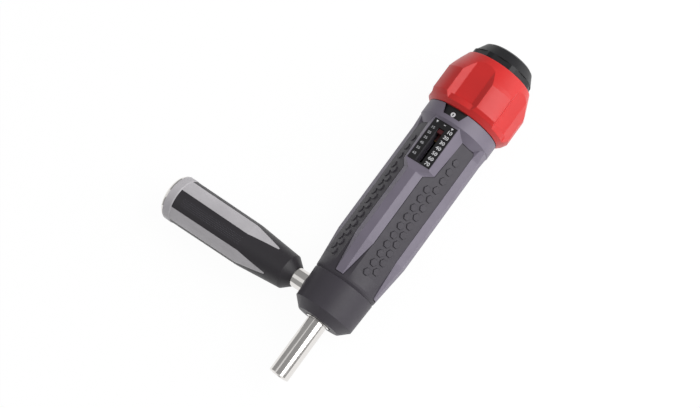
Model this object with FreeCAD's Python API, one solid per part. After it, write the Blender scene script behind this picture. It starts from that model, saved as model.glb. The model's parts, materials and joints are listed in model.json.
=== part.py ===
import FreeCAD, Part
import math
import os

# Torque screwdriver with a plug-in side handle. Millimetres.
# X runs along the tool from the tip of the spindle to the lock cap, Z points out of the scale
# window and Y points along the side handle. The origin is the mouth of the bit socket.
# A station is a distance along X, and a reach is a distance along Y.

V = FreeCAD.Vector
ORIGIN = V(0, 0, 0)
TOOL_AXIS = V(1, 0, 0)

# ---- driving dimensions: stations ----
NOSE_FRONT = 33.3
NOSE_CORNER = 37.9
SIDE_AXIS = 45.8
SEAM = 55.2
RIB_TIP = 57.5
RIB_FULL = 78.5
NECK_START = 119.8
NECK_END = 123.7
PLATE_START = 124.3
PLATE_END = 149.1
FLARE_START = 143.5
PANEL_END = 146.0
COLLAR_START = 150.6
COLLAR_END = 157.9
KNOB_START = 158.25
KNOB_CORNER = 163.1
FLUTE_START = 163.3
DOME_START = 177.0
KNOB_END = 189.9
CAP_START = 190.3
CAP_CREASE = 193.5
CAP_END = 200.0

# ---- driving dimensions: the body ----
COLLAR_R = 20.5
RIB_TOP = 20.15
RIB_TOP_HALF = 2.3
RIB_EDGE = 17.1
RIB_EDGE_HALF = 5.63
PANEL_MID = 16.5
PANEL_EDGE_HALF = 8.1
PANEL_EDGE = 16.07
SEAM_R = 17.6
CORE_R = 13.8
BORE_R = 12.2
KEYWAY_R = 14.6
KEYWAY_HALF = 2.1
LUG_R = 14.2
LUG_HALF = 1.75
RIB_GAP = 0.2
WINDOW_TOP = 18.9
WINDOW_HALF = 7.15
PLATE_HALF = 6.8
PLATE_TOP = 18.75
PLATE_SEAT = 18.3
SLOT_HALF = 2.0
SLOT_OFFSET = 0.5
HEXAGON_PITCH = 5.65
HEXAGON_R = 2.2
HEXAGON_TOP_R = 1.95
HEXAGON_HEIGHT = 0.5
HEXAGON_COLUMN = 2.15
FIRST_HEXAGON = 65.6
LONG_COLUMN = 13
SHORT_COLUMN = 10

# ---- driving dimensions: the knob and the setting ----
KNOB_R = 24.5
KNOB_END_R = 19.25
FLUTES = 5
FLUTE_FLAT = 20.9
FLUTE_FLAT_HALF = 5.3
FLUTE_EDGE = 22.8
FLUTE_EDGE_HALF = 9.0
RIM_R = 22.6
SCALE_RING_R = 18.9
COLLAR_BORE_R = 19.25
SCREW_R = 4.0
JOURNAL_R = 5.0
HUB_R = 6.0
LOCK_R = 3.0
RUNNING = 0.05
CAP_R = 17.95
CAP_CREASE_R = 17.8
CAP_FLATS = 8
CAP_FLAT_DEPTH = 0.85
CAP_TURN = 10.8
FLANGE_R = 10.0
FLANGE_SCREWS = 7.9
POINTER_START = 143.0
POINTER_END = 145.3
NUT_START = 139.3
NUT_END = 145.6

# ---- driving dimensions: the spindle and its clutch ----
SPINDLE_R = 5.5
SPINDLE_END = 66.0
BIT_FLATS = 6.35
SOCKET_DEPTH = 14.0
BUSH_R = 7.0
BALL_R = 2.0
BALL_CIRCLE = 8.2
BALL_COUNT = 6
BALL_STATION = 61.6
SPRING_START = 68.4
SPRING_R = 9.0
WIRE_R = 1.2
SPRING_TURNS = 7

# ---- driving dimensions: the side handle ----
SHANK_R = 5.3
SHANK_BORE_R = 5.35
DRIVE_START = 9.0
DRIVE_END = 14.5
DRIVE_FLATS = 8.0
GRIP_START = 23.6
GRIP_CORNER = 28.2
STRIPE_POINT = 36.5
STRIPE_FULL = 54.0
GRIP_END = 98.0
STRIPE_COLLAR_END = 102.8
POMMEL_END = 105.0
GRIP_CORNER_R = 9.5
GRIP_FULL_R = 12.0
GRIP_END_R = 12.4
STRIPE_COLLAR_R = 12.7
STRIPE_HALF = 4.3
STRIPE_DEPTH = 1.6
GRIP_TURN = 13.0
TANG_R = 4.0

QUARTERS = (0, 90, 180, 270)


def polygon(points):
    """A flat face with these corners."""
    return Part.Face(Part.makePolygon(list(points) + [points[0]]))


def turned(profile):
    """The solid swept by a profile of (station, radius) corners, turned about the tool axis."""
    return polygon([V(x, r, 0) for x, r in profile]).revolve(ORIGIN, TOOL_AXIS, 360)


def ring(start, end, outer, inner):
    """A plain tube between two stations."""
    return turned([(start, inner), (end, inner), (end, outer), (start, outer)])


def rod(start, end, radius):
    """A plain round bar between two stations."""
    return Part.makeCylinder(radius, end - start, V(start, 0, 0), TOOL_AXIS)


def box(x, y, z):
    """A block between pairs of coordinates."""
    return Part.makeBox(x[1] - x[0], y[1] - y[0], z[1] - z[0], V(x[0], y[0], z[0]))


def hexagon_bar(start, end, flats):
    """A hexagonal bar along the tool axis, of this width across its flats."""
    points = []
    for k in range(6):
        angle = math.radians(60 * k + 30)
        corner = flats / 2 / math.cos(math.radians(30))
        points.append(V(start, corner * math.cos(angle), corner * math.sin(angle)))
    return polygon(points).extrude(V(end - start, 0, 0))


def section(station, corners):
    """A closed outline of (y, z) corners across the tool."""
    points = [V(station, y, z) for y, z in corners]
    return Part.makePolygon(points + [points[0]])


def through(*outlines):
    """A solid with flat flanks through outlines that have as many corners each."""
    return Part.makeLoft(list(outlines), True, True)


def about_axis(shape, degrees):
    """A copy turned about the tool axis."""
    copy = shape.copy()
    copy.rotate(ORIGIN, TOOL_AXIS, degrees)
    return copy


def four_of(shape):
    """Four copies, a quarter turn apart about the tool axis."""
    return [about_axis(shape, angle) for angle in QUARTERS]


def to_side(shape):
    """Lays a piece modelled along X on the side handle's axis, which runs along Y."""
    copy = shape.copy()
    copy.rotate(ORIGIN, TOOL_AXIS, GRIP_TURN)
    copy.rotate(ORIGIN, V(0, 0, 1), 90)
    copy.translate(V(SIDE_AXIS, 0, 0))
    return copy


def hexagon(station, radius, lateral, height):
    """A hexagon that faces up, with two corners across the tool and two sides square to it."""
    corners = [math.radians(60 * k) for k in range(6)]
    points = [
        V(station + radius * math.sin(a), lateral + radius * math.cos(a), height) for a in corners
    ]
    return Part.makePolygon(points + [points[0]])


# ---- the body: a hard shell with four ribs, and a soft grip moulded between them ----

def rib_outline(station, top_half, top, edge_half, edge):
    """Across a rib: a flat top, a bevel on each side, and straight sides down into the core."""
    foot = (BORE_R + CORE_R) / 2
    return section(station, [
        (-edge_half, foot), (-edge_half, edge), (-top_half, top),
        (top_half, top), (edge_half, edge), (edge_half, foot),
    ])


def rib(end, widening=0.0):
    """A rib from its blunt, low tip by the nose up to the station where it ends."""
    half = RIB_EDGE_HALF + widening
    return through(
        rib_outline(RIB_TIP - widening, 2.1 + widening, 17.95, 2.3 + widening, 17.6),
        rib_outline(RIB_FULL, RIB_TOP_HALF, RIB_TOP, half, RIB_EDGE),
        rib_outline(end, RIB_TOP_HALF, RIB_TOP, half, RIB_EDGE),
    )


def rib_flare(widening=0.0):
    """The end of a plain rib, which widens into the collar."""
    return through(
        rib_outline(FLARE_START, RIB_TOP_HALF, RIB_TOP, RIB_EDGE_HALF + widening, RIB_EDGE),
        rib_outline(COLLAR_START, 3.9, RIB_TOP - 0.05, 6.4 + widening, 18.6),
    )


def window_frame(widening=0.0):
    """The raised, bevelled frame that the window rib widens into."""
    neck = rib_outline(
        NECK_START, RIB_TOP_HALF, RIB_TOP, RIB_EDGE_HALF + widening, RIB_EDGE)
    lower = rib_outline(NECK_END, WINDOW_HALF, WINDOW_TOP, 9.5 + widening, 13.8)
    upper = rib_outline(COLLAR_START, WINDOW_HALF, WINDOW_TOP, 10.9 + widening, 12.9)
    return through(neck, lower).fuse(through(lower, upper))


def ribs(widening=0.0):
    """All four ribs, the one on top with the window frame."""
    top = rib(NECK_START, widening).fuse(window_frame(widening))
    plain = rib(FLARE_START, widening).fuse(rib_flare(widening))
    return [top] + [about_axis(plain, angle) for angle in QUARTERS[1:]]


def collar():
    """The round collar under the knob, and the slope from the grip panels up to it."""
    return turned([
        (PANEL_END + RIB_GAP, BORE_R), (COLLAR_END, BORE_R), (COLLAR_END, COLLAR_R),
        (COLLAR_START, COLLAR_R), (PANEL_END + RIB_GAP, PANEL_MID + 0.2),
    ])


def body_shell():
    core = ring(SEAM, PANEL_END + 1, CORE_R, BORE_R - 1)
    shell = core.multiFuse([collar()] + ribs())
    bore = ring(SEAM - 1, 148.5, BORE_R, 0)
    screw_hole = rod(148, 153, HUB_R)
    ring_room = rod(152.3, COLLAR_END + 1, COLLAR_BORE_R)
    keyway = box((61.6, 148.5), (-KEYWAY_HALF, KEYWAY_HALF), (BORE_R - 2, KEYWAY_R))
    slot_sides = (SLOT_OFFSET - SLOT_HALF, SLOT_OFFSET + SLOT_HALF)
    slot = box((123.2, 145.9), slot_sides, (BORE_R, PLATE_SEAT))
    plate_seat = box(
        (PLATE_START, PLATE_END), (-PLATE_HALF, PLATE_HALF), (PLATE_SEAT, RIB_TOP + 1))
    notch = polygon([
        V(152.9, -4.85, 15), V(152.9, 4.85, 15),
        V(COLLAR_END + 1, 7.2, 15), V(COLLAR_END + 1, -7.2, 15),
    ]).extrude(V(0, 0, 7))
    cuts = [bore, screw_hole, ring_room, slot, plate_seat, notch] + four_of(keyway)
    return shell.cut(cuts).removeSplitter()


def grip_outline(station):
    """Across the soft grip: four slightly bowed panels, joined flat under the ribs."""
    edges = []
    for angle in QUARTERS:
        turn = FreeCAD.Rotation(TOOL_AXIS, angle + 45)
        start = turn.multVec(V(station, PANEL_EDGE_HALF, PANEL_EDGE))
        middle = turn.multVec(V(station, 0, PANEL_MID))
        end = turn.multVec(V(station, -PANEL_EDGE_HALF, PANEL_EDGE))
        following = FreeCAD.Rotation(TOOL_AXIS, 90).multVec(start)
        edges.append(Part.Arc(start, middle, end).toShape())
        edges.append(Part.LineSegment(end, following).toShape())
    return Part.Wire(Part.__sortEdges__(edges))


def round_outline(station, radius):
    """A circle split at the same angles as the grip's outline, to blend into it."""
    half = math.degrees(math.atan2(PANEL_EDGE_HALF, PANEL_EDGE))
    edges = []
    for angle in QUARTERS:
        for first, last in ((45 - half, 45 + half), (45 + half, 135 - half)):
            points = []
            for degrees in (first, (first + last) / 2, last):
                turn = FreeCAD.Rotation(TOOL_AXIS, angle + degrees)
                points.append(turn.multVec(V(station, 0, radius)))
            edges.append(Part.Arc(*points).toShape())
    return Part.Wire(Part.__sortEdges__(edges))


def hexagon_pad(station, lateral):
    """A low hexagonal pad with sloping sides, on a panel that faces up."""
    sunk = 0.4
    slope = (HEXAGON_R - HEXAGON_TOP_R) / HEXAGON_HEIGHT
    return through(
        hexagon(station, HEXAGON_R + sunk * slope / 2, lateral, PANEL_MID - sunk),
        hexagon(station, HEXAGON_R, lateral, PANEL_MID - 0.05),
        hexagon(station, HEXAGON_TOP_R, lateral, PANEL_MID + HEXAGON_HEIGHT),
    )


def grip_hexagons():
    """Two staggered columns of pads on each panel, one of them shorter beside the window."""
    pads = []
    for angle in (45, 135, 225, 315):
        by_window = angle in (45, 315)
        window_side = 1 if angle in (45, 225) else -1
        columns = (
            (window_side, FIRST_HEXAGON, SHORT_COLUMN if by_window else LONG_COLUMN),
            (-window_side, FIRST_HEXAGON + HEXAGON_PITCH / 2, LONG_COLUMN),
        )
        for side, first, count in columns:
            for k in range(count):
                pad = hexagon_pad(first + k * HEXAGON_PITCH, side * HEXAGON_COLUMN)
                pads.append(about_axis(pad, angle))
    return pads


def grip_overmould():
    blend_end = 64.0
    straight = Part.makeLoft([grip_outline(blend_end), grip_outline(PANEL_END)], True, True)
    flare = Part.makeLoft([round_outline(RIB_TIP, SEAM_R), grip_outline(blend_end)], True, True)
    lip = turned([(SEAM, 0), (RIB_TIP, 0), (RIB_TIP, SEAM_R), (SEAM + 1.2, SEAM_R - 0.1),
                  (SEAM, SEAM_R - 0.6)])
    sleeve = straight.multiFuse([flare, lip]).cut(ring(SEAM - 1, PANEL_END + 1, CORE_R, 0))
    return sleeve.cut(ribs(RIB_GAP)).multiFuse(grip_hexagons())


def scale_plate():
    plate = box(
        (PLATE_START, PLATE_END), (-PLATE_HALF, PLATE_HALF), (PLATE_SEAT, PLATE_TOP))
    sides = (SLOT_OFFSET - SLOT_HALF + 0.1, SLOT_OFFSET + SLOT_HALF - 0.1)
    return plate.cut(box((125.2, 145.4), sides, (PLATE_SEAT - 1, PLATE_TOP + 1)))


# ---- the nose: it screws into the body, and carries the spindle and the side handle ----

def nose_housing():
    outside = turned([
        (NOSE_FRONT, 0), (NOSE_FRONT, 12.0), (NOSE_CORNER, 16.7), (SEAM - 0.4, 17.4),
        (SEAM, 17.0), (SEAM, BORE_R), (61.4, BORE_R), (61.4, 0),
    ])
    front_recess = rod(NOSE_FRONT - 1, 35.2, 7.3)
    bush_bore = rod(NOSE_FRONT, 55.5, BUSH_R)
    clutch_room = rod(55.4, 62, 10.6)
    side_bore = to_side(rod(DRIVE_END - 0.2, 20, SHANK_BORE_R))
    side_drive = to_side(hexagon_bar(DRIVE_START - 0.4, DRIVE_END + 1, DRIVE_FLATS + 0.2))
    return outside.cut([front_recess, bush_bore, clutch_room, side_bore, side_drive])


def spindle_bush():
    return ring(35.2, 55.4, BUSH_R, SPINDLE_R + RUNNING)


# ---- the spindle and the slip clutch ----

def spindle():
    bar = turned([
        (0, 0), (0, SPINDLE_R - 0.5), (0.5, SPINDLE_R), (33.0, SPINDLE_R), (33.0, 5.1),
        (34.3, 5.1), (34.3, SPINDLE_R), (SPINDLE_END, SPINDLE_R), (SPINDLE_END, 0),
    ])
    socket = hexagon_bar(-1, SOCKET_DEPTH, BIT_FLATS)
    mouth = turned([(-0.1, 0), (-0.1, 4.2), (0.9, 3.2), (0.9, 0)])
    ring_groove = rod(4.2, 5.2, 4.1)
    magnet_hole = rod(SOCKET_DEPTH, SOCKET_DEPTH + 3, 2.8)
    return bar.cut([socket, mouth, ring_groove, magnet_hole])


def bit_magnet():
    return rod(SOCKET_DEPTH, SOCKET_DEPTH + 3, 2.8)


def open_ring(start, end, outer, inner, gap):
    """A spring ring with a gap, which faces down."""
    return ring(start, end, outer, inner).cut(box((start - 1, end + 1), (-gap, gap), (-20, 0)))


def bit_ring():
    """The spring ring that grips the bit, in a groove of the socket."""
    return open_ring(4.3, 5.1, 4.1, 3.35, 0.8)


def spindle_ring():
    """The spring ring that keeps the spindle in the nose."""
    return open_ring(33.0, 34.3, 6.6, 5.1, 1.6)


def driven_plate():
    """The clutch's driven plate on the spindle, with the race that the balls run in."""
    race_r = BALL_R + 0.3
    plate = ring(56.0, 60.9, 10.2, SPINDLE_R)
    race = Part.makeTorus(BALL_CIRCLE, race_r, V(BALL_STATION, 0, 0), TOOL_AXIS)
    return plate.cut(race)


def around(shape, count):
    """Copies spread evenly about the tool axis."""
    return [about_axis(shape, 360 / count * k) for k in range(count)]


def ball_seats(radius):
    """The places of the clutch balls, as spheres of this radius."""
    return around(Part.makeSphere(radius, V(BALL_STATION, 0, BALL_CIRCLE)), BALL_COUNT)


def clutch_balls():
    return Part.makeCompound(ball_seats(BALL_R))


def lugged_disc(start, end, hole):
    """A disc with four lugs that slide in the body's keyways."""
    lug = box((start, end), (-LUG_HALF, LUG_HALF), (BORE_R - 3, LUG_R))
    disc = rod(start, end, BORE_R - 0.4).multiFuse(four_of(lug))
    return disc.cut(rod(start - 1, end + 1, hole))


def clutch_plate():
    """The clutch's driving plate, which the spring presses on the balls."""
    plate = lugged_disc(62.4, 67.2, SPINDLE_R + 0.5)
    return plate.cut(ball_seats(BALL_R + RUNNING / 2))


def thrust_washer():
    return ring(67.2, 68.4, 11.4, SPINDLE_R + 1)


def main_spring():
    length = NUT_START - SPRING_START - 2 * WIRE_R
    path = Part.makeHelix(length / SPRING_TURNS, length, SPRING_R)
    section_wire = Part.Wire(Part.makeCircle(WIRE_R, V(SPRING_R, 0, 0), V(0, 1, 0)))
    spring = Part.Wire(path).makePipeShell([section_wire], True, True)
    spring.rotate(ORIGIN, V(0, 1, 0), 90)
    spring.translate(V(SPRING_START + WIRE_R, 0, 0))
    return spring


# ---- the setting: the knob turns a left-hand screw, and the nut and its pointer slide ----

def spring_nut():
    return lugged_disc(NUT_START, NUT_END, SCREW_R + 0.3)


def pointer():
    """The pointer on the nut's top lug, seen through the slot of the scale."""
    half = 1.5
    sides = (SLOT_OFFSET - half, SLOT_OFFSET + half)
    foot = box((NUT_START + 0.5, POINTER_END), (-1.4, 1.6), (LUG_R, LUG_R + 0.3))
    return foot.fuse(box((POINTER_START, POINTER_END), sides, (LUG_R + 0.3, 17.9)))


def adjusting_screw():
    screw = turned([
        (117.5, 0), (117.5, SCREW_R - 0.8), (118.3, SCREW_R), (145.9, SCREW_R),
        (145.9, JOURNAL_R), (152.7, JOURNAL_R), (152.7, FLANGE_R), (155.0, FLANGE_R),
        (155.0, HUB_R), (186.0, HUB_R), (186.0, 0),
    ])
    ring_groove = ring(146.2, 147.2, 6, 4.6)
    return screw.cut([rod(176.0, 187.0, LOCK_R + RUNNING), ring_groove, knob_screws()])


def screw_ring():
    """The spring ring that keeps the adjusting screw in its bush."""
    return open_ring(146.2, 147.2, 7.0, 4.6, 1.5)


def screw_bush():
    """The flanged bush in the body's end wall."""
    return turned([
        (147.5, JOURNAL_R + RUNNING), (152.3, JOURNAL_R + RUNNING), (152.3, HUB_R),
        (148.5, HUB_R), (148.5, 8.5), (147.5, 8.5),
    ])


def flute():
    """What one flute takes off the knob: a flat floor with two shallow walls, above a rim."""
    def outline(station):
        beyond = FLUTE_EDGE_HALF + 6
        beyond_r = FLUTE_EDGE + 3.1
        return section(station, [
            (-beyond, beyond_r), (-FLUTE_EDGE_HALF, FLUTE_EDGE), (-FLUTE_FLAT_HALF, FLUTE_FLAT),
            (FLUTE_FLAT_HALF, FLUTE_FLAT), (FLUTE_EDGE_HALF, FLUTE_EDGE), (beyond, beyond_r),
            (beyond, 30), (-beyond, 30),
        ])
    trough = through(outline(FLUTE_START), outline(KNOB_END))
    above_rim = ring(KNOB_START, FLUTE_START, 30, RIM_R)
    return trough.fuse(above_rim.common(through(outline(KNOB_START), outline(FLUTE_START))))


def knob():
    outside = turned([
        (KNOB_START, 0), (KNOB_START, COLLAR_R + 0.1), (161.0, 23.3), (KNOB_CORNER, KNOB_R),
        (DOME_START, KNOB_R), (179.5, 23.6), (KNOB_END, KNOB_END_R), (KNOB_END, 0),
    ])
    fluted = outside.cut(around(flute(), FLUTES))
    hub = rod(155.0, 172.0, FLANGE_R)
    hub_hole = rod(150, 187, HUB_R)
    hollow = ring(KNOB_START - 1, 172.0, 16.5, FLANGE_R)
    scale_seat = ring(KNOB_START - 1, 161.0, SCALE_RING_R, FLANGE_R)
    cap_room = rod(186.0, KNOB_END + 1, 15.0)
    return fluted.fuse(hub).cut([hub_hole, hollow, scale_seat, cap_room, knob_screws()])


def fine_scale_ring():
    """The fine scale, which turns with the knob and shows in the collar's notch."""
    return ring(152.7, 161.0, SCALE_RING_R, 16.5)


def knob_screws():
    """Two screws through the flange of the adjusting screw into the knob's hub."""
    screw = rod(153.9, 163.0, 1.2).fuse(rod(152.7, 153.9, 1.8))
    screw.translate(V(0, 0, FLANGE_SCREWS))
    return Part.makeCompound([screw, about_axis(screw, 180)])


def lock_cap():
    """The cap on the knob's end, with shallow flats round its lower band for the fingers."""
    plug = rod(186.4, CAP_START, 14.6)
    band = turned([
        (CAP_START, 0), (CAP_START, CAP_R), (CAP_CREASE, CAP_CREASE_R), (CAP_CREASE, 0),
    ])
    flats = through(flat_outline(CAP_START, CAP_R), flat_outline(CAP_CREASE, CAP_CREASE_R))
    crown = turned([
        (CAP_CREASE, 0), (CAP_CREASE, CAP_CREASE_R - 0.35), (199.1, 14.4), (CAP_END, 13.0),
        (CAP_END, 11.4), (199.6, 11.0), (199.6, 0),
    ])
    grips = about_axis(band.common(flats), CAP_TURN)
    return crown.multiFuse([plug, grips]).cut(lock_screw())


def flat_outline(station, radius):
    """A polygon that leaves narrow round lands between the flats of a band this size."""
    reach = (radius - CAP_FLAT_DEPTH) / math.cos(math.pi / CAP_FLATS)
    angles = [2 * math.pi / CAP_FLATS * (k + 0.5) for k in range(CAP_FLATS)]
    return section(station, [(reach * math.sin(a), reach * math.cos(a)) for a in angles])


def lock_screw():
    """The stud in the lock cap, which clamps the knob on the adjusting screw."""
    return rod(177.0, 192.0, LOCK_R)


# ---- the side handle, modelled along X and then laid along Y ----

def side_shank():
    """The steel bar: a hexagonal end that drives the nose, a round shank and a thinner tang."""
    bar = turned([
        (DRIVE_END, 0), (DRIVE_END, SHANK_R - 0.4), (DRIVE_END + 0.4, SHANK_R),
        (15.5, SHANK_R), (15.5, SHANK_R - 0.8), (16.5, SHANK_R - 0.8), (16.5, SHANK_R),
        (GRIP_CORNER, SHANK_R), (GRIP_CORNER, TANG_R), (94.0, TANG_R), (94.0, 0),
    ])
    return bar.fuse(hexagon_bar(DRIVE_START, DRIVE_END + 1, DRIVE_FLATS))


def side_ring():
    """The spring ring on the shank that holds the side handle in the nose."""
    return open_ring(15.6, 16.4, SHANK_R + 0.01, SHANK_R - 0.8, 1.5)


def grip_profile(inset):
    """The grip's outline from its front cone to its collar, moved in by an inset."""
    return [
        (GRIP_START, 5.9 - inset), (GRIP_CORNER, GRIP_CORNER_R - inset),
        (STRIPE_FULL, GRIP_FULL_R - inset), (GRIP_END, GRIP_END_R - inset),
    ]


def stripe_region(widening=0.0):
    """Four lance-shaped inlays along the grip, each with its point at the front."""
    half = STRIPE_HALF + widening
    tip = STRIPE_POINT - 2 * widening
    lance = polygon([
        V(tip, -0.5, 0), V(tip, 0.5, 0), V(STRIPE_FULL, half, 0), V(GRIP_END + 1, half, 0),
        V(GRIP_END + 1, -half, 0), V(STRIPE_FULL, -half, 0),
    ]).extrude(V(0, 0, 20))
    return [about_axis(lance, angle + 45) for angle in QUARTERS]


def side_grip():
    core = turned([(GRIP_START, SHANK_R)] + grip_profile(0) + [
        (GRIP_END, 8.0), (STRIPE_COLLAR_END, 8.0), (STRIPE_COLLAR_END, TANG_R),
        (GRIP_CORNER, TANG_R), (GRIP_CORNER, SHANK_R),
    ])
    inlay = turned([(GRIP_END, 25), (GRIP_START, 25)] + grip_profile(STRIPE_DEPTH))
    lances = stripe_region(0.12)
    return core.cut([lance.common(inlay) for lance in lances])


def side_stripes():
    skin = turned(grip_profile(0) + list(reversed(grip_profile(STRIPE_DEPTH))))
    lances = [lance.common(skin) for lance in stripe_region()]
    collar_ring = turned([
        (GRIP_END, 8.0), (GRIP_END, GRIP_END_R), (GRIP_END + 0.6, STRIPE_COLLAR_R),
        (STRIPE_COLLAR_END, STRIPE_COLLAR_R - 0.1), (STRIPE_COLLAR_END, 8.0),
    ])
    return collar_ring.multiFuse(lances)


def side_pommel():
    return turned([
        (94.0, 0), (94.0, TANG_R), (STRIPE_COLLAR_END, TANG_R), (STRIPE_COLLAR_END, 12.2),
        (103.7, 12.2), (104.6, 11.5), (POMMEL_END, 10.5), (POMMEL_END, 0),
    ])


ALONG_TOOL = (
    body_shell, grip_overmould, scale_plate, nose_housing, spindle_bush, spindle, bit_magnet,
    bit_ring, spindle_ring, driven_plate, clutch_balls, clutch_plate, thrust_washer, main_spring,
    spring_nut, pointer, adjusting_screw, screw_ring, screw_bush, knob, fine_scale_ring,
    knob_screws, lock_cap, lock_screw,
)
ALONG_SIDE = (side_shank, side_ring, side_grip, side_stripes, side_pommel)


def main():
    os.makedirs("parts", exist_ok=True)
    for make in ALONG_TOOL:
        make().exportStep(f"parts/{make.__name__}.step")
    for make in ALONG_SIDE:
        to_side(make()).exportStep(f"parts/{make.__name__}.step")


main()
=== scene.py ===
import json
import math

import bmesh
import bpy
from mathutils import Matrix, Vector


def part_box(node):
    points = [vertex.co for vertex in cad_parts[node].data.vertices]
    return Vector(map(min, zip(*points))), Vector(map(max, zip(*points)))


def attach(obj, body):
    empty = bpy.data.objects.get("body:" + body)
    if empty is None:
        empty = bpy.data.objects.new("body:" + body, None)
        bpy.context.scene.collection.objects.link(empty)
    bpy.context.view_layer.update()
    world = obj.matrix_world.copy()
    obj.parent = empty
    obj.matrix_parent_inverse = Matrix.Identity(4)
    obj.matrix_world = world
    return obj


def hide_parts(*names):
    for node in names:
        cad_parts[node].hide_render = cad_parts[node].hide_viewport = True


# The looks of a torque screwdriver with a plug-in side handle. Lengths are in metres, in the
# frame of the CAD model: +X from the spindle's tip to the knob, +Y along the side handle, +Z out
# of the scale window.

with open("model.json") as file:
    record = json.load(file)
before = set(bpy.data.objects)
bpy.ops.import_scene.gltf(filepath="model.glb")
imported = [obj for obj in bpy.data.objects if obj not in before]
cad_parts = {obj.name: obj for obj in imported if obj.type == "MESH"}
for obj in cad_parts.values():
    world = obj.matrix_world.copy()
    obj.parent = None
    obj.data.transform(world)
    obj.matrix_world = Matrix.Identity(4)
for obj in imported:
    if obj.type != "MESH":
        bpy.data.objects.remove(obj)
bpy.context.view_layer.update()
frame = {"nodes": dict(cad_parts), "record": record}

MM = 0.001

# ---- places, from the frame ----
PLATE_LOW, PLATE_HIGH = (Vector(corner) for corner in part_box("scale_plate"))
RING_LOW, RING_HIGH = (Vector(corner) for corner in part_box("fine_scale_ring"))
SIDE_LOW, SIDE_HIGH = (Vector(corner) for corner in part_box("side_grip"))
SIDE_AXIS_X = (SIDE_LOW.x + SIDE_HIGH.x) / 2
RATIO = frame["record"]["behaviour"]["couplings"][0]["ratio"]
SCALE_PITCH = RATIO * 2 * math.pi

# ---- the view ----
VIEW_TARGET = Vector((0.09193, 0.02357, 0.0))
VIEW_DISTANCE = 0.8402
VIEW_LENS = 85.13
VIEW_AZIMUTH = math.radians(244.98)
VIEW_ELEVATION = math.radians(66.17)
VIEW_UP = math.radians(36.79)
SENSOR_WIDTH = 36.0

# ---- the ground ----
# The tool rests on a lobe of the knob, the lowest rib and the side handle's collar.
SUPPORTS = ((0.1631, 0.0, -0.0246), (0.0785, 0.0023, -0.0202), (0.0458, 0.1028, -0.0128))


def srgb(red, green, blue):
    """A linear colour from the usual 0 to 255 values."""
    def linear(value):
        value /= 255
        return value / 12.92 if value <= 0.04045 else ((value + 0.055) / 1.055) ** 2.4
    return (linear(red), linear(green), linear(blue), 1.0)


# ---- materials ----

class Nodes:
    """A short way to write a material's node tree."""

    def __init__(self, name):
        self.material = bpy.data.materials.new(name)
        self.material.use_nodes = True
        self.tree = self.material.node_tree
        self.shader = self.tree.nodes["Principled BSDF"]
        self.output = self.tree.nodes["Material Output"]

    def add(self, kind, **settings):
        node = self.tree.nodes.new(kind)
        for key, value in settings.items():
            if hasattr(node, key):
                setattr(node, key, value)
            else:
                node.inputs[key.replace("_", " ")].default_value = value
        return node

    def link(self, source, target):
        self.tree.links.new(source, target)

    def place(self):
        """Coordinates that stay with the piece."""
        return self.add("ShaderNodeTexCoord").outputs["Object"]

    def noise(self, scale, detail=2.0):
        node = self.add("ShaderNodeTexNoise", Scale=scale, Detail=detail)
        self.link(self.place(), node.inputs["Vector"])
        return node.outputs["Fac"]

    def blend(self, factor, first, second, low=0.3, high=0.7):
        """A colour that runs from the first to the second as the factor runs from low to high."""
        ramp = self.add("ShaderNodeValToRGB")
        ramp.color_ramp.elements[0].position = low
        ramp.color_ramp.elements[0].color = first
        ramp.color_ramp.elements[1].position = high
        ramp.color_ramp.elements[1].color = second
        self.link(factor, ramp.inputs["Fac"])
        return ramp.outputs["Color"]

    def grey(self, factor, first, second):
        return self.blend(factor, (first,) * 3 + (1,), (second,) * 3 + (1,))


def shaded(color, factor):
    return tuple(min(1.0, channel * factor) for channel in color[:3]) + (1.0,)


def plastic(name, color, roughness, grain=2200.0, grain_depth=0.012, mottle=0.06, edge=0.2,
            specular=0.5, crease=0.25):
    """Moulded plastic or rubber: faint mottling, a fine spark-eroded grain, soft edges and
    painted shade that darkens the colour in creases and corners."""
    nodes = Nodes(name)
    patches = nodes.noise(90.0, 4.0)
    mixed = nodes.blend(patches, shaded(color, 1 - mottle), shaded(color, 1 + mottle))
    # Painted shade: ambient occlusion darkens the colour towards the crease tone in creases,
    # corners and round the feet of raised pads.
    corner = nodes.add("ShaderNodeAmbientOcclusion", Distance=0.9 * MM)
    corner.samples = 8
    crease_shade = nodes.blend(
        corner.outputs["AO"], (crease,) * 3 + (1,), (1, 1, 1, 1), low=0.42, high=0.8)
    toned = nodes.add("ShaderNodeVectorMath", operation="MULTIPLY")
    nodes.link(mixed, toned.inputs[0])
    nodes.link(crease_shade, toned.inputs[1])
    nodes.link(toned.outputs["Vector"], nodes.shader.inputs["Base Color"])
    gloss = nodes.grey(nodes.noise(260.0, 3.0), roughness - 0.03, roughness + 0.04)
    nodes.link(gloss, nodes.shader.inputs["Roughness"])
    nodes.shader.inputs["Specular IOR Level"].default_value = specular
    rounded = nodes.add("ShaderNodeBevel", Radius=edge * MM)
    rounded.samples = 4
    bump = nodes.add("ShaderNodeBump", Strength=0.35, Distance=grain_depth * MM)
    nodes.link(nodes.noise(grain, 2.0), bump.inputs["Height"])
    nodes.link(rounded.outputs["Normal"], bump.inputs["Normal"])
    nodes.link(bump.outputs["Normal"], nodes.shader.inputs["Normal"])
    return nodes.material


def metal(name, color, roughness, streak=0.03, edge=0.12):
    """Plated or ground metal, with faint polishing marks."""
    nodes = Nodes(name)
    nodes.shader.inputs["Metallic"].default_value = 1.0
    tone = nodes.blend(nodes.noise(140.0, 3.0), shaded(color, 0.96), color)
    nodes.link(tone, nodes.shader.inputs["Base Color"])
    gloss = nodes.grey(nodes.noise(700.0, 3.0), roughness, roughness + streak)
    nodes.link(gloss, nodes.shader.inputs["Roughness"])
    rounded = nodes.add("ShaderNodeBevel", Radius=edge * MM)
    rounded.samples = 4
    nodes.link(rounded.outputs["Normal"], nodes.shader.inputs["Normal"])
    return nodes.material


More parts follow.
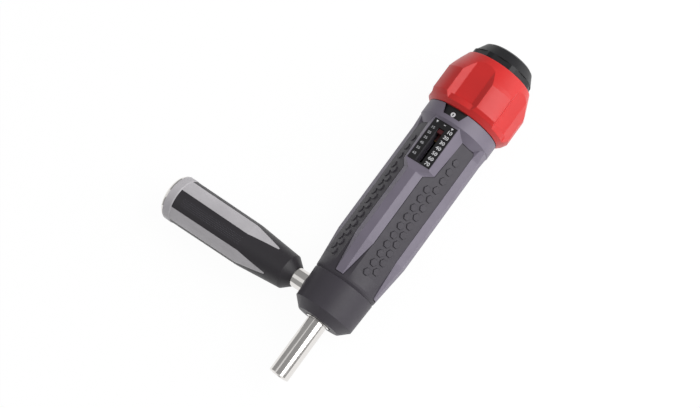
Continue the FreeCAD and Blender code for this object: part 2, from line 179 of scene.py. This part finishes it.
def print_ink(name, color):
    """Printed or moulded-in marks, a little uneven in tone."""
    nodes = Nodes(name)
    tone = nodes.blend(nodes.noise(900.0, 2.0), shaded(color, 0.86), color)
    nodes.link(tone, nodes.shader.inputs["Base Color"])
    nodes.shader.inputs["Roughness"].default_value = 0.5
    return nodes.material


MATERIALS = {
    "shell_grey": plastic("shell_grey", srgb(122, 115, 130), 0.44),
    "grip_charcoal": plastic("grip_charcoal", srgb(62, 58, 66), 0.52, grain_depth=0.02,
                             crease=0.1),
    "nose_charcoal": plastic("nose_charcoal", srgb(63, 59, 67), 0.48),
    "knob_red": plastic("knob_red", srgb(218, 42, 40), 0.36, mottle=0.03, edge=0.35,
                        specular=0.5, crease=0.45),
    "cap_black": plastic("cap_black", srgb(31, 31, 34), 0.4, specular=0.35),
    "scale_black": plastic("scale_black", srgb(20, 19, 22), 0.42, crease=1.0),
    # The pointer's own red, darkened to paint the shade it lies in at the bottom of the slot.
    "pointer_red": plastic("pointer_red", srgb(84, 18, 26), 0.4, crease=1.0),
    "chrome": metal("chrome", srgb(232, 229, 226), 0.1),
    "brass": metal("brass", srgb(120, 98, 60), 0.4),
    "clutch_steel": metal("clutch_steel", srgb(175, 175, 178), 0.3),
    "spring_steel": metal("spring_steel", srgb(140, 140, 144), 0.3),
    "magnet_nickel": metal("magnet_nickel", srgb(190, 188, 184), 0.25),
    "side_black": plastic("side_black", srgb(48, 45, 50), 0.46, grain_depth=0.02),
    "side_grey": plastic("side_grey", srgb(202, 199, 203), 0.45, crease=0.5),
}
INK_WHITE = print_ink("ink_white", srgb(240, 240, 243))
INK_GREY = print_ink("ink_grey", srgb(190, 190, 194))
GRIP_DOT = plastic("grip_dot", srgb(86, 84, 94), 0.4, crease=0.6)
SLOT_SHADE = plastic("slot_shade", srgb(26, 25, 28), 0.6, crease=1.0)
SLOT_SHEEN = plastic("slot_sheen", srgb(84, 82, 88), 0.5, crease=1.0)


def dress_cad_nodes():
    """Gives each CAD node the finish of its slot."""
    slots = {entry["node"]: entry["material_slot"] for entry in frame["record"]["subparts"]}
    for name, piece in frame["nodes"].items():
        for slot in piece.material_slots:
            slot.material = MATERIALS[slots[name]]


# ---- marks ----

FIGURE_SHARE = 0.7  # a figure's height as a share of the font's size


def solid_text(words, height, thickness, weight=0.02, stretch=1.0):
    """Bold, wide figures as a mesh, with their middle at the origin."""
    curve = bpy.data.curves.new("figures", "FONT")
    curve.body = words
    curve.offset = weight * height
    curve.align_x = "CENTER"
    curve.align_y = "CENTER"
    curve.size = height / FIGURE_SHARE
    curve.extrude = thickness / 2
    curve.resolution_u = 3
    text = bpy.data.objects.new("figures", curve)
    mesh = bpy.data.meshes.new_from_object(text)
    bpy.data.objects.remove(text)
    mesh.transform(Matrix.Diagonal((stretch, 1, 1, 1)))
    return mesh


def joined(name, meshes, material, body):
    """One piece from several placed meshes."""
    total = bmesh.new()
    for mesh, matrix in meshes:
        mesh.transform(matrix)
        total.from_mesh(mesh)
        bpy.data.meshes.remove(mesh)
    mesh = bpy.data.meshes.new(name)
    total.to_mesh(mesh)
    total.free()
    mesh.materials.clear()
    mesh.materials.append(material)
    piece = bpy.data.objects.new(name, mesh)
    bpy.context.scene.collection.objects.link(piece)
    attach(piece, body)
    return piece


def bar(width, height, thickness):
    """A thin printed bar, with its middle at the origin."""
    block = bmesh.new()
    bmesh.ops.create_cube(block, size=1.0)
    bmesh.ops.scale(block, vec=(width, height, thickness), verts=block.verts)
    mesh = bpy.data.meshes.new("bar")
    block.to_mesh(mesh)
    block.free()
    return mesh


def on_window(x, y, z):
    """Places a flat mark facing out of the window, with its top towards the knob."""
    turn = Matrix(((0, 1, 0), (-1, 0, 0), (0, 0, 1))).to_4x4()
    return Matrix.Translation((x, y, z)) @ turn


FIRST_MARK_X = 0.1456
HEADER_X = 0.1478
RIGHT_COLUMN_Y = -0.0042
LEFT_COLUMN_Y = 0.0048
SLOT_SIDES = (-0.0014, 0.0024)
SLOT_ENDS = (0.1253, 0.1453)
SLOT_DEPTH = 3.4 * MM
PAINTED_SHEET_THICKNESS = 0.06 * MM
FINE_MARK_X = 0.1545
MARK_THICKNESS = 0.06 * MM
TENS_HEIGHT = 1.85 * MM
FIVES_HEIGHT = 1.3 * MM
SCALE_STRETCH = 1.12
ARROW_SIZE = 1.4 * MM
DASH_WIDTH = 1.1 * MM
DASH_HEIGHT = 0.3 * MM
DASH_Y = 0.0003
FINE_HEIGHT = 2.3 * MM
FINE_WEIGHT = 0.07
FINE_STRETCH = 1.45


def arrowhead(size, thickness):
    """A small triangle that points down its column of numbers."""
    mesh = bmesh.new()
    corners = [mesh.verts.new((x * size, y * size, -thickness / 2))
               for x, y in ((-0.5, 0.4), (0.5, 0.4), (0, -0.45))]
    face = mesh.faces.new(corners)
    grown = bmesh.ops.extrude_face_region(mesh, geom=[face])
    raised = [item for item in grown["geom"] if isinstance(item, bmesh.types.BMVert)]
    bmesh.ops.translate(mesh, vec=(0, 0, thickness), verts=raised)
    bmesh.ops.recalc_face_normals(mesh, faces=mesh.faces)
    result = bpy.data.meshes.new("arrowhead")
    mesh.to_mesh(result)
    mesh.free()
    return result


def scale_marks():
    """Plain numbers down the scale: tens beside one edge, fives between them on the other."""
    face = PLATE_HIGH.z + MARK_THICKNESS / 4
    big = []
    small = []
    for k in range(7):
        x = FIRST_MARK_X - k * SCALE_PITCH
        number = solid_text(
            str(10 + 10 * k), TENS_HEIGHT, MARK_THICKNESS, stretch=SCALE_STRETCH)
        big.append((number, on_window(x, RIGHT_COLUMN_Y, face)))
    for k in range(6):
        x = FIRST_MARK_X - (k + 0.5) * SCALE_PITCH
        number = solid_text(
            str(15 + 10 * k), FIVES_HEIGHT, MARK_THICKNESS, stretch=SCALE_STRETCH)
        small.append((number, on_window(x, LEFT_COLUMN_Y, face)))
    for y in (RIGHT_COLUMN_Y, LEFT_COLUMN_Y):
        big.append((arrowhead(ARROW_SIZE, MARK_THICKNESS), on_window(HEADER_X, y, face)))
    dash = bar(DASH_WIDTH, DASH_HEIGHT, MARK_THICKNESS)
    big.append((dash, on_window(HEADER_X, DASH_Y, face)))
    joined("scale_tens", big, INK_WHITE, "handle")
    joined("scale_fives", small, INK_GREY, "handle")


def slot_lining():
    """Painted shade: dark sheets inside the slot that the pointer shows through, with a painted
    sheen on the lighter side.
    """
    middle = (SLOT_ENDS[0] + SLOT_ENDS[1]) / 2
    length = SLOT_ENDS[1] - SLOT_ENDS[0]
    width = SLOT_SIDES[1] - SLOT_SIDES[0]
    z = PLATE_LOW.z - SLOT_DEPTH / 2
    side = bar(length, PAINTED_SHEET_THICKNESS, SLOT_DEPTH)
    dark = [(side, Matrix.Translation((middle, SLOT_SIDES[0], z)))]
    for x in SLOT_ENDS:
        place = Matrix.Translation((x, sum(SLOT_SIDES) / 2, z))
        dark.append((bar(PAINTED_SHEET_THICKNESS, width, SLOT_DEPTH), place))
    side = bar(length, PAINTED_SHEET_THICKNESS, SLOT_DEPTH)
    light = [(side, Matrix.Translation((middle, SLOT_SIDES[1], z)))]
    joined("slot_lining", dark, SLOT_SHADE, "handle")
    joined("slot_painted_sheen", light, SLOT_SHEEN, "handle")


def fine_scale_marks():
    """The numbers 0 to 9 round the fine scale, one for each tenth of the knob's turn."""
    radius = RING_HIGH.z + MARK_THICKNESS / 4
    marks = []
    for k in range(10):
        number = solid_text(
            str(k), FINE_HEIGHT, MARK_THICKNESS, weight=FINE_WEIGHT, stretch=FINE_STRETCH)
        turn = Matrix.Rotation(math.radians(36 * k), 4, "X")
        marks.append((number, turn @ on_window(FINE_MARK_X, 0.0, radius)))
    joined("fine_scale_numbers", marks, INK_WHITE, "knob_group")


# ---- the side handle ----

# The solids hold the grip and its inlays 23.6 degrees from where the photograph shows them.
GRIP_TURN = math.radians(-23.6)
PANEL_ANGLE = math.radians(-10.6)
GRIP_START_Y = 0.054
GRIP_LENGTH = 0.044
GRIP_START_R = 12.0
GRIP_GROWTH = 0.4
PANELS = 4
DOT_ROWS = 5
DOT_CORNERS = 6
DOT_SIZE = 0.27 * MM
DOT_HEIGHT = 0.14 * MM
DOT_SUNK = 0.03 * MM
DOT_PITCH = 1.0 * MM
DOTS_FROM = 0.055
DOTS_TO = 0.094


def about_side_axis(angle):
    """A turn about the side handle's own axis."""
    there = Matrix.Translation((SIDE_AXIS_X, 0, 0))
    return there @ Matrix.Rotation(angle, 4, "Y") @ there.inverted()


def turned_grip():
    """The side grip and its inlays, turned on the tang to where they are set."""
    for name, slot in (("side_grip", "side_black"), ("side_stripes", "side_grey")):
        mesh = frame["nodes"][name].data.copy()
        mesh.transform(about_side_axis(GRIP_TURN))
        mesh.materials.clear()
        mesh.materials.append(MATERIALS[slot])
        piece = bpy.data.objects.new(name + "_set", mesh)
        bpy.context.scene.collection.objects.link(piece)
        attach(piece, "side_handle")
        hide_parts(name)


def grip_radius(y):
    """The side grip's radius, which grows a little towards its collar."""
    return (GRIP_START_R + (y - GRIP_START_Y) / GRIP_LENGTH * GRIP_GROWTH) * MM


def grip_dots():
    """Rows of fine raised dots on the four dark panels between the inlays."""
    mesh = bmesh.new()
    count = int((DOTS_TO - DOTS_FROM) / DOT_PITCH)
    for panel in range(PANELS):
        for row in range(DOT_ROWS):
            for k in range(count):
                y = DOTS_FROM + (k + 0.5 * (row % 2)) * DOT_PITCH
                radius = grip_radius(y)
                spread = (row - (DOT_ROWS - 1) / 2) * DOT_PITCH / radius
                angle = PANEL_ANGLE + panel * 2 * math.pi / PANELS + spread
                out = Vector((math.sin(angle), 0, math.cos(angle)))
                side = Vector((math.cos(angle), 0, -math.sin(angle)))
                middle = Vector((SIDE_AXIS_X, y, 0)) + out * (radius - DOT_SUNK)
                foot = []
                for corner in range(DOT_CORNERS):
                    a = corner * 2 * math.pi / DOT_CORNERS
                    offset = side * math.cos(a) + Vector((0, math.sin(a), 0))
                    foot.append(mesh.verts.new(middle + offset * DOT_SIZE))
                top = mesh.verts.new(middle + out * DOT_HEIGHT)
                for corner in range(DOT_CORNERS):
                    after = (corner + 1) % DOT_CORNERS
                    mesh.faces.new((foot[corner], foot[after], top))
                mesh.faces.new(foot[::-1])
    bmesh.ops.recalc_face_normals(mesh, faces=mesh.faces)
    dots = bpy.data.meshes.new("dots")
    mesh.to_mesh(dots)
    mesh.free()
    place = Matrix.Identity(4)
    joined("side_grip_dots", [(dots, place)], GRIP_DOT, "side_handle")


# ---- the stage ----

FLOOR_SIZE = 6.0
FLOOR_GREY = 0.86
FLOOR_GLOW = 1.03
FLOOR_GLOW_SHARE = 0.93  # the rest of what the camera sees of the floor keeps the shadow
AMBIENT = 0.34
KEY_PLACE = (0.85, 0.15, 0.75)
KEY_SIZE = (1.1, 1.3)
KEY_RADIANCE = 2.8
FILL_PLACE = (-0.9, 0.4, 0.8)
FILL_SIZE = (0.7, 0.9)
FILL_RADIANCE = 0.5


def floor():
    """A pale sheet through the three points that the tool rests on."""
    a, b, c = (Vector(point) for point in SUPPORTS)
    normal = (b - a).cross(c - a).normalized()
    if normal.z < 0:
        normal.negate()
    mesh = bpy.data.meshes.new("floor")
    sheet = bmesh.new()
    bmesh.ops.create_grid(sheet, x_segments=1, y_segments=1, size=FLOOR_SIZE)
    sheet.to_mesh(mesh)
    sheet.free()
    piece = bpy.data.objects.new("floor", mesh)
    bpy.context.scene.collection.objects.link(piece)
    piece.rotation_mode = "QUATERNION"
    piece.rotation_quaternion = normal.to_track_quat("Z", "Y")
    piece.location = a
    nodes = Nodes("floor")
    nodes.shader.inputs["Base Color"].default_value = (FLOOR_GREY,) * 3 + (1,)
    nodes.shader.inputs["Roughness"].default_value = 0.9
    nodes.shader.inputs["Specular IOR Level"].default_value = 0.1
    glow = nodes.add("ShaderNodeEmission", Strength=FLOOR_GLOW)
    seen = nodes.add("ShaderNodeLightPath")
    direct = nodes.add("ShaderNodeMath", operation="MAXIMUM")
    nodes.link(seen.outputs["Is Camera Ray"], direct.inputs[0])
    nodes.link(seen.outputs["Is Glossy Ray"], direct.inputs[1])
    share = nodes.add("ShaderNodeMath", operation="MULTIPLY")
    share.inputs[1].default_value = FLOOR_GLOW_SHARE
    nodes.link(direct.outputs[0], share.inputs[0])
    mix = nodes.add("ShaderNodeMixShader")
    nodes.link(share.outputs[0], mix.inputs["Fac"])
    nodes.link(nodes.shader.outputs["BSDF"], mix.inputs[1])
    nodes.link(glow.outputs["Emission"], mix.inputs[2])
    nodes.link(mix.outputs["Shader"], nodes.output.inputs["Surface"])
    mesh.materials.append(nodes.material)


def studio_world():
    """White wherever the camera or a transmission ray sees it, and a soft grey light otherwise.
    """
    world = bpy.data.worlds.new("studio")
    bpy.context.scene.world = world
    world.use_nodes = True
    tree = world.node_tree
    background = tree.nodes["Background"]
    background.inputs["Color"].default_value = (1, 1, 1, 1)
    seen = tree.nodes.new("ShaderNodeLightPath")
    direct = tree.nodes.new("ShaderNodeMath")
    direct.operation = "MAXIMUM"
    tree.links.new(seen.outputs["Is Camera Ray"], direct.inputs[0])
    tree.links.new(seen.outputs["Is Transmission Ray"], direct.inputs[1])
    strength = tree.nodes.new("ShaderNodeMapRange")
    strength.inputs["To Min"].default_value = AMBIENT
    strength.inputs["To Max"].default_value = 1.0
    tree.links.new(direct.outputs[0], strength.inputs["Value"])
    tree.links.new(strength.outputs["Result"], background.inputs["Strength"])


VIEW_BACK = Vector((
    math.cos(VIEW_AZIMUTH) * math.cos(VIEW_ELEVATION),
    math.sin(VIEW_AZIMUTH) * math.cos(VIEW_ELEVATION),
    math.sin(VIEW_ELEVATION),
))
UP_HINT = Vector((math.cos(VIEW_UP), math.sin(VIEW_UP), 0.0))
VIEW_RIGHT = UP_HINT.cross(VIEW_BACK).normalized()
VIEW_TOP = VIEW_BACK.cross(VIEW_RIGHT)


def from_view(right, up, toward):
    """A point beside the tool, given as the camera sees it."""
    return VIEW_TARGET + VIEW_RIGHT * right + VIEW_TOP * up + VIEW_BACK * toward


def softbox(name, place, width, height, radiance):
    """A soft rectangular lamp that faces the tool."""
    lamp = bpy.data.lights.new(name, "AREA")
    lamp.shape = "RECTANGLE"
    lamp.size = width
    lamp.size_y = height
    lamp.energy = radiance * math.pi * width * height
    piece = bpy.data.objects.new(name, lamp)
    bpy.context.scene.collection.objects.link(piece)
    piece.location = place
    piece.rotation_mode = "QUATERNION"
    piece.rotation_quaternion = (place - VIEW_TARGET).to_track_quat("Z", "Y")


def lights():
    softbox("key", from_view(*KEY_PLACE), *KEY_SIZE, KEY_RADIANCE)
    softbox("fill", from_view(*FILL_PLACE), *FILL_SIZE, FILL_RADIANCE)


def camera():
    data = bpy.data.cameras.new("camera")
    data.lens = VIEW_LENS
    data.sensor_width = SENSOR_WIDTH
    data.clip_start = 0.05
    data.clip_end = 20.0
    piece = bpy.data.objects.new("camera", data)
    bpy.context.scene.collection.objects.link(piece)
    turn = Matrix((VIEW_RIGHT, VIEW_TOP, VIEW_BACK)).transposed()
    piece.rotation_mode = "QUATERNION"
    piece.rotation_quaternion = turn.to_quaternion()
    piece.location = VIEW_TARGET + VIEW_BACK * VIEW_DISTANCE
    bpy.context.scene.camera = piece


dress_cad_nodes()
scale_marks()
slot_lining()
fine_scale_marks()
turned_grip()
grip_dots()
floor()
studio_world()
lights()
camera()
bpy.context.scene.view_settings.view_transform = "Standard"
